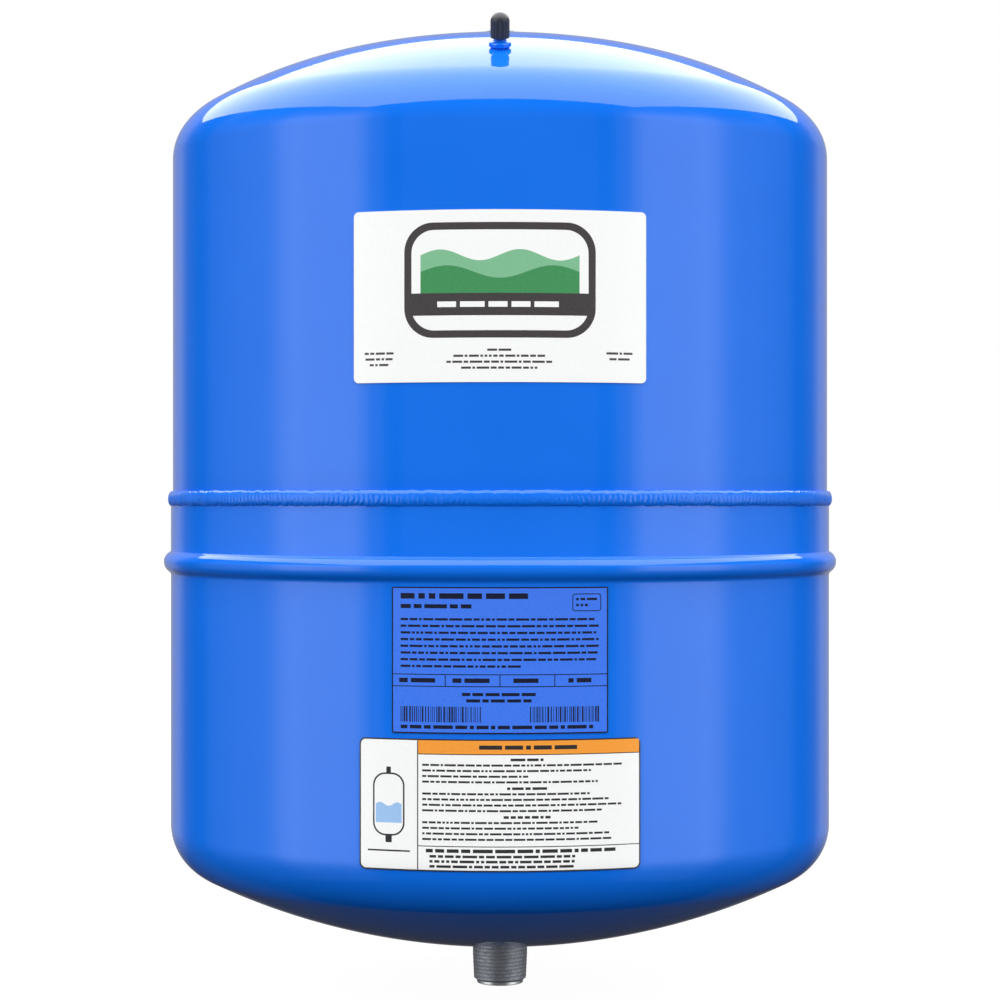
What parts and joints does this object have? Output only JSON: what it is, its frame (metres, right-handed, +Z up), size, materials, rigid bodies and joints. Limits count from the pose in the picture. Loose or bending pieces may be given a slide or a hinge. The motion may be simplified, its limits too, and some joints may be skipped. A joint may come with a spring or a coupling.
{
  "type": "well pressure tank",
  "caption": "In-line pre-charged diaphragm tank: two welded blue steel shells with a clamped rubber diaphragm, a capped air valve on the dome and a threaded water nipple at the foot.",
  "frame": {"origin": "centre of the water nipple's open end, where the pipe fitting takes the tank", "axes": "+Z up along the tank's axis, -Y the front with the labels and the air valve, +X to the right seen from the front"},
  "size_m": [0.4086, 0.4086, 0.583],
  "materials": {
    "blue_enamel": "gloss baked enamel",
    "enamelled_weld": "gloss enamel over rippled weld",
    "nipple_steel": "cut thread, dull",
    "zinc_plated_steel": "dull zinc plate",
    "valve_brass": "turned",
    "butyl_rubber": "matt",
    "polypropylene": "satin moulded",
    "cap_plastic": "satin moulded",
    "white_vinyl": "printed sheet",
    "blue_vinyl": "printed sheet"
  },
  "bodies": {
    "tank": {"upper_shell": "blue_enamel", "lower_shell": "blue_enamel", "girth_weld": "enamelled_weld", "liner": "polypropylene", "diaphragm": "butyl_rubber", "clamp_ring": "zinc_plated_steel", "water_nipple": "nipple_steel", "inlet_grid": "polypropylene", "inlet_seal": "butyl_rubber", "crown_plug": "zinc_plated_steel", "valve_boss": "blue_enamel", "valve_stem": "blue_enamel", "core_barrel": "valve_brass", "core_gasket": "butyl_rubber", "core_spring": "zinc_plated_steel", "front_label": "white_vinyl", "data_label": "blue_vinyl", "info_label": "white_vinyl"},
    "valve_pin": {"core_pin": "valve_brass", "core_seal": "butyl_rubber"},
    "cap_disc": {"cap_seal": "butyl_rubber"},
    "cap": {"valve_cap": "cap_plastic"}
  },
  "joints": [
    {"name": "pin_press", "type": "slide", "parent": "tank", "child": "valve_pin", "axis": [0, 0.4085, -0.9128], "range_m": [0, 0.0012], "stiffness_N_per_m": 2500, "springref_m": -0.0008, "deforming": ["core_spring"]},
    {"name": "cap_lift", "type": "slide", "parent": "tank", "child": "cap_disc", "axis": [0, -0.4085, 0.9128], "range_m": [0, 0.00635]},
    {"name": "cap_turn", "type": "hinge", "parent": "cap_disc", "child": "cap", "pos_m": [0, -0.1511, 0.54584], "axis": [0, -0.4085, 0.9128], "range_deg": [0, 2880]}
  ],
  "couplings": [
    {"joint": "cap_turn", "follows": "cap_lift", "rad_per_m": 7915.8}
  ]
}
